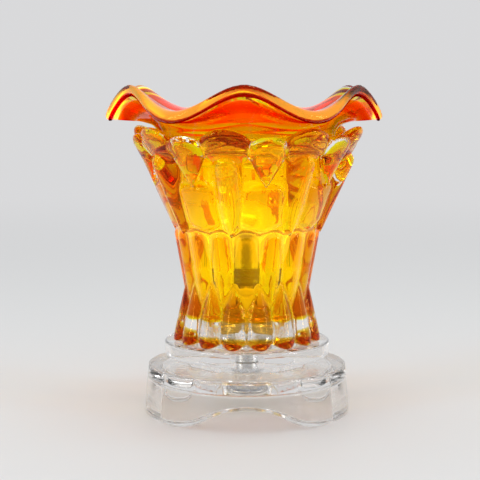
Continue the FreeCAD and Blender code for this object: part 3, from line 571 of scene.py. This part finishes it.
outer = [(6.4, BULB_NECK_BOTTOM), (6.4, 71.1), (7.2, 73.2), (8.9, 76.0), (10.2, 79.0), (10.8, 83.0),
         (11.0, 88.0), (11.0, 93.0), (10.7, 97.5), (9.9, 101.0), (8.4, 104.0), (6.2, 106.1), (3.2, 107.3),
         (0, 107.6)]
inner = [(0, 106.9), (3.0, 106.6), (5.8, 105.5), (7.8, 103.5), (9.2, 100.7), (10.0, 97.3), (10.3, 93.0),
         (10.3, 88.0), (10.1, 83.2), (9.5, 79.3), (8.3, 76.5), (6.6, 73.7), (5.7, 71.3),
         (5.7, BULB_NECK_BOTTOM)]
bulb_skin = glass("lit_bulb_glass", roughness=0.3, ripple=0.1)
tree = bulb_skin.node_tree
shine = tree.nodes["Principled BSDF"]
shine.inputs["Emission Color"].default_value = BULB_GLOW
tree.links.new(ranged(tree, height_above_floor(tree), BULB_GLOW_BOTTOM * MM, FILAMENT_HEIGHT * MM,
                      end=BULB_GLOW_STRENGTH), shine.inputs["Emission Strength"])
finish("bulb_envelope", spun(outer + inner, 72), bulb_skin, "bulb")

# Inside it a glass stem flares into the neck. It is pinched flat at its top, where it grips the
# two stiff wires.
STEM_TOP = 81.6
PINCH_BOTTOM = 74.0
PINCH_LENGTH = 6.0
PINCH_SHARE = 0.55
bm = spun([(0, BULB_NECK_BOTTOM), (5.5, BULB_NECK_BOTTOM), (5.5, 65.5), (3.4, 66.6), (2.4, 67.9), (2.2, 70.0),
           (2.2, 79.0), (1.6, 81.0), (0, STEM_TOP)], 40)
for vert in bm.verts:
    pinch = max(0.0, min(1.0, (vert.co.z / MM - PINCH_BOTTOM) / PINCH_LENGTH))
    vert.co.y *= 1 - PINCH_SHARE * pinch
# The stem's glass is coloured dark.
finish("bulb_stem", bm, glass("dark_stem_glass", (0.16, 0.20, 0.12), ripple=0.1), "bulb")

# Two stiff wires of dark nickel stand up out of the stem and bend apart, to hold the filament by
# its ends.
WIRE_RADIUS = 0.3
WIRE_LENGTH = 13.0
WIRE_BOTTOM = STEM_TOP + 0.1
WIRE_OFFSET = 1.2
WIRE_SPREAD = 3.4
both = bmesh.new()
for side in (-1, 1):
    made = bmesh.ops.create_cone(both, cap_ends=True, segments=12, radius1=WIRE_RADIUS * MM,
                                 radius2=WIRE_RADIUS * MM, depth=WIRE_LENGTH * MM)
    bmesh.ops.translate(both, verts=made["verts"],
                        vec=(side * WIRE_OFFSET * MM, 0, (WIRE_BOTTOM + WIRE_LENGTH / 2) * MM))
upright = [edge for edge in both.edges if abs((edge.verts[0].co - edge.verts[1].co).z) > WIRE_LENGTH / 2 * MM]
bmesh.ops.subdivide_edges(both, edges=upright, cuts=20)
for vert in both.verts:
    up = max(0.0, (vert.co.z / MM - WIRE_BOTTOM) / WIRE_LENGTH)
    vert.co.x += math.copysign(WIRE_SPREAD * up ** 1.3, vert.co.x) * MM
finish("bulb_lead_wires", both, nickel, "bulb")

# The filament is a fine coil of tungsten wire hung between the tips of the wires. It is so hot that
# it glows.
COIL_RADIUS = 0.24
COIL_WIRE = 0.07
COIL_TURNS = 30
COIL_LENGTH = 9.0
COIL_STEPS = 12 * COIL_TURNS
bm = bmesh.new()
bmesh.ops.create_circle(bm, segments=8, radius=COIL_WIRE * MM,
                        matrix=Matrix.Translation((0, COIL_RADIUS * MM, 0)))
bmesh.ops.spin(bm, geom=bm.verts[:] + bm.edges[:], cent=(0, 0, 0), axis=(1, 0, 0),
               angle=math.tau * COIL_TURNS, dvec=(COIL_LENGTH / COIL_STEPS * MM, 0, 0), steps=COIL_STEPS)
bmesh.ops.holes_fill(bm, edges=[edge for edge in bm.edges if edge.is_boundary])
bmesh.ops.translate(bm, verts=bm.verts[:], vec=(-COIL_LENGTH / 2 * MM, 0, FILAMENT_HEIGHT * MM))
bmesh.ops.recalc_face_normals(bm, faces=bm.faces[:])
tungsten = solid_finish("glowing_tungsten", (0.35, 0.33, 0.32), (0.25, 0.24, 0.23), 1.0, 0.4, 0.5, 2000, 0.1)
tungsten.node_tree.nodes["Principled BSDF"].inputs["Emission Color"].default_value = (1.0, 0.85, 0.5, 1)
tungsten.node_tree.nodes["Principled BSDF"].inputs["Emission Strength"].default_value = 4.0
finish("filament", bm, tungsten, "bulb")


# The shade is one pressed piece, amber glass cased in clear. Its mouth was reheated and waved by
# hand over the mould's tiers of toes, ribs, lancets and curled petals.
WAVES = 6
WAVE_BOTTOM = 130.0
WAVE_START = 39.0
RIM_RADIUS = 62.2
WAVE_HEIGHT = 6.8
WAVE_LEAN = 2.4
WAVE_SIDEWAYS = 1.5
RUFFLE_LINE = ((38.6, 123.6), (38.6, 128.1), (39.3, 132.1), (42.0, 135.9), (46.8, 138.8), (53.8, 142.1),
               (59.3, 144.3))
PHASE_DEG = -11.5
PITCH_DEG = 22.5
LOWER_BACK = 25.2
PETAL_CURL = 1.25
PETALS = ((PHASE_DEG, 12.2, 5.6, (45.0, 115.4), (57.4, 133.7), 0.45, 8.0, 0.6),
          (PHASE_DEG + PITCH_DEG, 9.4, 5.0, (43.8, 107.0), (55.6, 130.5), 0.70, 6.0, 0.9))


def wave(bm):
    """Press the mouth into waves that grow from the neck to the lip, and pull it a little to the left."""
    for vert in bm.verts:
        radius = vert.co.xy.length / MM
        if radius <= WAVE_START or vert.co.z < WAVE_BOTTOM * MM:
            continue
        share = ((radius - WAVE_START) / (RIM_RADIUS - WAVE_START)) ** 1.5
        beat = math.cos(WAVES * math.atan2(vert.co.x, -vert.co.y))
        vert.co.z += WAVE_HEIGHT * MM * share * beat
        vert.co.xy *= 1 - WAVE_LEAN * share * beat / radius
        vert.co.x -= WAVE_SIDEWAYS * MM * share


def sheet_outline(line, thickness):
    """The outline of a sheet of glass along a line of radii and heights, with a round lip at its end."""
    under, over = [], []
    for index, (radius, height) in enumerate(line):
        before = line[max(index - 1, 0)]
        after = line[min(index + 1, len(line) - 1)]
        along = Vector((after[0] - before[0], after[1] - before[1])).normalized()
        half = thickness[index] / 2
        under.append((radius + along.y * half, height - along.x * half))
        over.append((radius - along.y * half, height + along.x * half))
    lip = []
    along = Vector((line[-1][0] - line[-2][0], line[-1][1] - line[-2][1])).normalized()
    half = thickness[-1] / 2
    for turn_deg in (60, 30, 0, -30, -60):
        turn = math.radians(turn_deg)
        lip.append((line[-1][0] + half * (along.x * math.cos(turn) + along.y * math.sin(turn)),
                    line[-1][1] + half * (along.y * math.cos(turn) - along.x * math.sin(turn))))
    return under, lip, over


def add_leaves(bm, count, phase_deg, half_width, half_depth, low, high, shoulder, dome, back,
               upside_down=False, blunt=0.0, growth=0.85, curl=1.0):
    """Leaves pressed out of the wall, all round. Each runs up from a point to a round end, and its
    crest follows a line from low to high, in radius and height. Its back stops at a radius. A blunt
    one keeps its crest to the end, growth shapes its point, and with curl its crest bends outward."""
    shape = bmesh.ops.create_uvsphere(bm, u_segments=28, v_segments=24, radius=1)["verts"]
    length = high[1] - low[1]
    end = dome / length
    for vert in shape:
        share = (1 - vert.co.z) / 2 if upside_down else (1 + vert.co.z) / 2
        flat = vert.co.xy.copy()
        if flat.length > 1e-6:
            flat.normalize()
        pointed = min(1.0, share / shoulder) ** growth
        girth = pointed
        if share > 1 - end:
            girth *= math.sqrt(max(0.0, 1 - ((share - 1 + end) / end) ** 2))
        up = 1 - share if upside_down else share
        crest = low[0] + (high[0] - low[0]) * up ** curl
        middle = crest - half_depth * (pointed + (girth - pointed) * blunt)
        x = half_width * girth * flat.x
        y = middle - half_depth * girth * flat.y
        if math.hypot(x, y) < back:
            y = math.sqrt(max(back * back - x * x, 0.0))
        vert.co = Vector((x, -y, low[1] + length * up)) * MM
    bmesh.ops.rotate(bm, verts=shape, cent=(0, 0, 0), matrix=Matrix.Rotation(math.radians(phase_deg), 3, "Z"))
    faces = {face for vert in shape for face in vert.link_faces}
    bmesh.ops.spin(bm, geom=list(faces), cent=(0, 0, 0), axis=(0, 0, 1), angle=math.tau * (count - 1) / count,
                   steps=count - 1, use_duplicate=True)


def add_petals(bm, back, smaller=0.0):
    """The two rows of curled petals, or the same petals made smaller all round."""
    for phase_deg, half_width, half_depth, low, high, shoulder, dome, growth in PETALS:
        add_leaves(bm, 8, phase_deg, half_width - smaller, half_depth - smaller,
                   (low[0] - smaller, low[1] + smaller), (high[0] - smaller, high[1] - smaller),
                   shoulder, dome, back, growth=growth, curl=PETAL_CURL)


def melted(name, bm, grain, polish, keep):
    """Melt overlapping shapes into one skin, let the flame round its edges and keep a share of its faces."""
    loose = add_mesh(name, bm)
    melt = loose.modifiers.new("melt", "REMESH")
    melt.mode = "VOXEL"
    melt.voxel_size = grain * MM
    melt.use_smooth_shade = True
    flame = loose.modifiers.new("flame", "SMOOTH")
    flame.factor = 0.5
    flame.iterations = polish
    thin_out = loose.modifiers.new("thin_out", "DECIMATE")
    thin_out.ratio = keep
    bpy.context.view_layer.update()
    mesh = bpy.data.meshes.new_from_object(loose.evaluated_get(bpy.context.evaluated_depsgraph_get()))
    mesh.name = name
    loose.modifiers.clear()
    loose.data = mesh
    mesh.shade_smooth()
    return loose


under, lip, over = sheet_outline(RUFFLE_LINE, (3.6, 3.6, 3.6, 3.8, 4.1, 4.5, 4.8))
bm = spun([(24.2, 47.1), (27.4, 47.1), (26.7, 58.5), (32.4, 85.9), (33.4, 88.5), (41.0, 107.5), (40.8, 109.1),
           (40.2, 110.1)] + under[1:] + lip + over[::-1][:-2]
          + [(36.8, 126.1), (33.4, 126.1), (33.4, 100.1), (24.2, 62.1)], steps=180)
wave(bm)
# The toes, the ribs between them, the lancets, the petals, and the panels between the lancets.
add_leaves(bm, 16, PHASE_DEG, 6.3, 6.2, (35.3, FLANGE_TOP), (28.6, 63.1), 0.5, 5.0, LOWER_BACK,
           upside_down=True, blunt=0.85)
add_leaves(bm, 16, PHASE_DEG + PITCH_DEG / 2, 6.5, 6.1, (27.4, 47.6), (34.6, 88.1), 0.42, 4.5, 26.0)
add_leaves(bm, 8, PHASE_DEG, 6.1, 7.4, (34.6, 84.6), (52.2, 122.4), 0.34, 6.0, 34.0, growth=0.6)
add_petals(bm, 38.5)
add_leaves(bm, 8, PHASE_DEG + PITCH_DEG, 9.4, 3.0, (34.6, 87.6), (43.4, 108.4), 0.16, 2.6, 34.0)
shade = melted("clear_casing", bm, 0.75, 4, 0.52)
shade.data.materials.append(glass("clear_casing_glass", ripple=0.08, sheen=(1.0, 0.55, 0.06)))
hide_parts("shade")
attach(shade, "shade")


# The amber gather fills the shade's wall and its petals and ends in the tops of the toes. A painted glow on
# its inner skin stands in for the warm light of the bulb shining through it. The glow is least at the foot
# and uneven in long strands, and a painted glow lights its lip.
AMBER_PER_METRE = (12, 70, 1500)
PAINTED_INNER_GLOW = (1.0, 0.52, 0.05, 1)
PAINTED_INNER_GLOW_STRENGTH = 0.27
INNER_SKIN_RADII = (26.2, 35.4)
INNER_SKIN_HEIGHTS = (62.1, 100.1)
GLOW_HEIGHTS = (46.0, 127.0)
GLOW_AT_FOOT = 0.35
GLOW_AT_TOP = 0.8
GLOW_FULL_BETWEEN = (0.28, 0.75)
GLOW_STREAK_STRENGTHS = (0.45, 1.25)
PAINTED_LIP_GLOW_STRENGTH = 0.65
PAINTED_LIP_GLOW_RADII = (57.0, 59.0)
AMBER_DEPTH = 2.4


def tint(name, swallowed_per_metre):
    """Coloured glass inside clear glass: it swallows red, green and blue light by the metre, and has
    no surface of its own."""
    made = bpy.data.materials.new(name)
    made.use_nodes = True
    tree = made.node_tree
    tree.nodes.remove(tree.nodes["Principled BSDF"])
    swallow = node(tree, "VolumeAbsorption")
    most = max(swallowed_per_metre)
    swallow.inputs["Color"].default_value = (*[1 - value / most for value in swallowed_per_metre], 1)
    swallow.inputs["Density"].default_value = most
    clear = node(tree, "BsdfTransparent")
    clear.inputs["Color"].default_value = (1, 1, 1, 1)
    tree.links.new(clear.outputs[0], tree.nodes["Material Output"].inputs["Surface"])
    tree.links.new(swallow.outputs[0], tree.nodes["Material Output"].inputs["Volume"])
    return made


def seen_through_skin(tree, strength):
    """A strength that counts only where it is seen through the clear casing."""
    return reckon(tree, "MULTIPLY", node(tree, "LightPath").outputs["Is Transmission Ray"], strength)


def add_painted_glow(material, colour, strength):
    """Paint a glow onto coloured glass, standing in for the bulb's light shining through it."""
    tree = material.node_tree
    glow = node(tree, "Emission")
    glow.inputs["Color"].default_value = colour
    tree.links.new(strength, glow.inputs["Strength"])
    both = node(tree, "AddShader")
    tree.links.new(tree.nodes["Transparent BSDF"].outputs[0], both.inputs[0])
    tree.links.new(glow.outputs[0], both.inputs[1])
    tree.links.new(both.outputs[0], tree.nodes["Material Output"].inputs["Surface"])


def embed(piece, material):
    """Make a body of coloured glass part of the shade."""
    piece.data.materials.append(material)
    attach(piece, "shade")


under, lip, over = sheet_outline(RUFFLE_LINE[:-1] + ((58.9, 144.15),), (2.4, 2.4, 2.4, 2.4, 2.6, 2.8, 2.6))
bm = spun([(25.0, 47.7), (26.6, 47.7), (25.7, 58.5), (31.7, 86.1), (34.6, 93.1), (38.6, 106.1), (38.8, 114.1)]
          + under[1:] + lip + over[::-1][:-2]
          + [(37.5, 125.1), (34.0, 123.1), (34.0, 100.1), (24.7, 62.1)], steps=180)
wave(bm)
# The petals, the tops of the toes, the ribs, and the panels between the lancets.
add_petals(bm, 37.8, smaller=AMBER_DEPTH)
add_leaves(bm, 16, PHASE_DEG, 5.2, 4.6, (30.8, 45.5), (27.4, 61.6), 0.5, 1.0, LOWER_BACK, upside_down=True,
           blunt=1.0)
add_leaves(bm, 16, PHASE_DEG + PITCH_DEG / 2, 4.8, 4.2, (26.6, 50.1), (32.7, 86.5), 0.42, 4.0, 26.0)
add_leaves(bm, 8, PHASE_DEG + PITCH_DEG, 8.4, 2.4, (33.8, 88.4), (42.4, 107.4), 0.16, 2.0, 33.0)
amber = melted("amber_layer", bm, 0.8, 4, 0.6)

amber_glass = tint("amber_glass", AMBER_PER_METRE)
tree = amber_glass.node_tree
reach = reach_from_axis(tree)
height = height_above_floor(tree)
skin = ranged(tree, height, *(value * MM for value in INNER_SKIN_HEIGHTS + INNER_SKIN_RADII), smooth=False)
on_inside = reckon(tree, "LESS_THAN", reach, skin)
by_height = node(tree, "ValToRGB")
steps = by_height.color_ramp.elements
steps[0].color = (GLOW_AT_FOOT, GLOW_AT_FOOT, GLOW_AT_FOOT, 1)
steps[1].color = (GLOW_AT_TOP, GLOW_AT_TOP, GLOW_AT_TOP, 1)
for position in GLOW_FULL_BETWEEN:
    steps.new(position).color = (1, 1, 1, 1)
up_the_shade = ranged(tree, height, *(value * MM for value in GLOW_HEIGHTS), smooth=False)
tree.links.new(up_the_shade, by_height.inputs["Fac"])
drawn_out = node(tree, "Mapping")
drawn_out.inputs["Scale"].default_value = (1, 1, 0.25)
glow_streaks = node(tree, "TexNoise")
glow_streaks.inputs["Scale"].default_value = 90
glow_streaks.inputs["Detail"].default_value = 2.0
tree.links.new(node(tree, "TexCoord").outputs["Object"], drawn_out.inputs["Vector"])
tree.links.new(drawn_out.outputs["Vector"], glow_streaks.inputs["Vector"])
uneven = ranged(tree, glow_streaks.outputs["Fac"], 0.35, 0.65, *GLOW_STREAK_STRENGTHS, smooth=False)
strength = reckon(tree, "MULTIPLY", on_inside, by_height.outputs["Color"])
strength = reckon(tree, "MULTIPLY", strength, uneven)
strength = reckon(tree, "MULTIPLY", strength, PAINTED_INNER_GLOW_STRENGTH)
# A painted glow lights the lip, outward of a reach from the axis.
at_lip = ranged(tree, reach, *(value * MM for value in PAINTED_LIP_GLOW_RADII), end=PAINTED_LIP_GLOW_STRENGTH)
add_painted_glow(amber_glass, PAINTED_INNER_GLOW, reckon(tree, "ADD", seen_through_skin(tree, strength), at_lip))
embed(amber, amber_glass)

# Drops of deeper amber lie in the tips of the toes and in their pointed tops. Those in the tips are a painted
# reflection of the amber shade above, which the clear toes show by refraction.
DEEP_AMBER_PER_METRE = (36, 125, 600)
DROP_BACK = 24.0
bm = bmesh.new()
# The drops in the toe tips: painted reflection of the amber above.
add_leaves(bm, 16, PHASE_DEG, 5.1, 4.8, (34.3, 34.7), (33.8, 38.1), 0.06, 3.2, DROP_BACK, upside_down=True,
           blunt=0.85)
add_leaves(bm, 16, PHASE_DEG, 4.7, 2.3, (31.1, 46.0), (28.2, 60.6), 0.6, 1.0, DROP_BACK, upside_down=True,
           blunt=1.0)
embed(add_mesh("painted_reflection_and_deep_amber_drops", bm), tint("painted_reflection_and_deep_amber_glass", DEEP_AMBER_PER_METRE))

# A thin line of dark glass follows the waves a little inside the lip.
DARK_LINE_PER_METRE = (700, 4000, 6000)
LINE_RADIUS = 1.0
LINE_REACH = 59.6
LINE_HEIGHT = 142.5
bm = bmesh.new()
bmesh.ops.create_circle(bm, segments=10, radius=LINE_RADIUS * MM, matrix=Matrix.Rotation(math.pi / 2, 4, "X"))
bmesh.ops.translate(bm, verts=bm.verts[:], vec=(LINE_REACH * MM, 0, LINE_HEIGHT * MM))
bmesh.ops.spin(bm, geom=bm.verts[:] + bm.edges[:], cent=(0, 0, 0), axis=(0, 0, 1), angle=math.tau, steps=180,
               use_merge=True)
bmesh.ops.recalc_face_normals(bm, faces=bm.faces[:])
wave(bm)
embed(add_mesh("dark_lip_line", bm), tint("dark_lip_glass", DARK_LINE_PER_METRE))

# The mouth was struck to a selenium red, a thin layer under the amber that runs from the neck out towards the
# lip. It carries a painted glow that stands in for the bulb's light shining through it.
RED_PER_METRE = (60, 1250, 8000)
PAINTED_RED_GLOW = (1.0, 0.20, 0.0, 1)
PAINTED_RED_GLOW_STRENGTH = 0.18
PAINTED_RED_GLOW_RADII = (39.0, 50.0)
under, lip, over = sheet_outline(
    ((39.4, 124.6), (39.4, 128.1), (40.4, 132.0), (42.9, 135.1), (47.4, 137.6), (53.6, 140.1), (56.6, 141.2)),
    (0.1, 0.2, 0.3, 0.6, 1.1, 1.5, 1.0))
bm = spun(under + lip + over[::-1], steps=180)
wave(bm)
red_glass = tint("selenium_red_glass", RED_PER_METRE)
tree = red_glass.node_tree
# The painted glow grows from the neck out towards the lip.
outward = ranged(tree, reach_from_axis(tree), *(value * MM for value in PAINTED_RED_GLOW_RADII),
                 end=PAINTED_RED_GLOW_STRENGTH)
add_painted_glow(red_glass, PAINTED_RED_GLOW, seen_through_skin(tree, outward))
embed(add_mesh("red_layer", bm), red_glass)

# The wax dish is a thick clear glass bowl that hangs by its flange on a ledge in the shade's throat.
# It lifts out to be emptied and filled.
LEDGE = 126.1
bm = spun([(0, 115.1), (26.6, 115.1), (28.4, 115.6), (32.9, 121.1), (32.9, LEDGE), (36.3, LEDGE),
           (36.3, 129.1), (30.1, 129.1), (28.6, 124.6), (26.0, 119.8), (23.6, 118.3), (0, 118.1)],
          120, soft=0.7)
finish("wax_dish", bm, glass("clear_dish_glass", ripple=0.2), "dish", sharp_deg=None)
